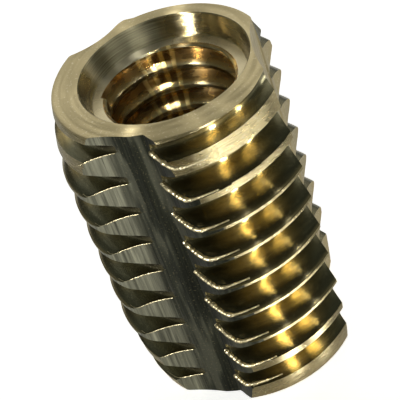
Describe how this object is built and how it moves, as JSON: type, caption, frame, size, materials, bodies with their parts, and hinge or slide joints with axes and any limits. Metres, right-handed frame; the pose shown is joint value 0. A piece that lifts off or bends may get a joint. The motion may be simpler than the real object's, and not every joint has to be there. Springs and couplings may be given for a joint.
{
  "type": "threaded insert",
  "caption": "Self-tapping brass threaded insert with a coarse outer thread, three lengthwise cutting flutes and a smaller threaded bore.",
  "frame": {"origin": "the axis at the plain foot face", "axes": "+Z along the insert's axis towards the mouth; +X 4.5 degrees past the middle of one flute"},
  "size_m": [0.0092, 0.01, 0.0138],
  "materials": {
    "insert": "satin, turned"
  },
  "bodies": {
    "root": {"insert": "insert"}
  },
  "joints": []
}
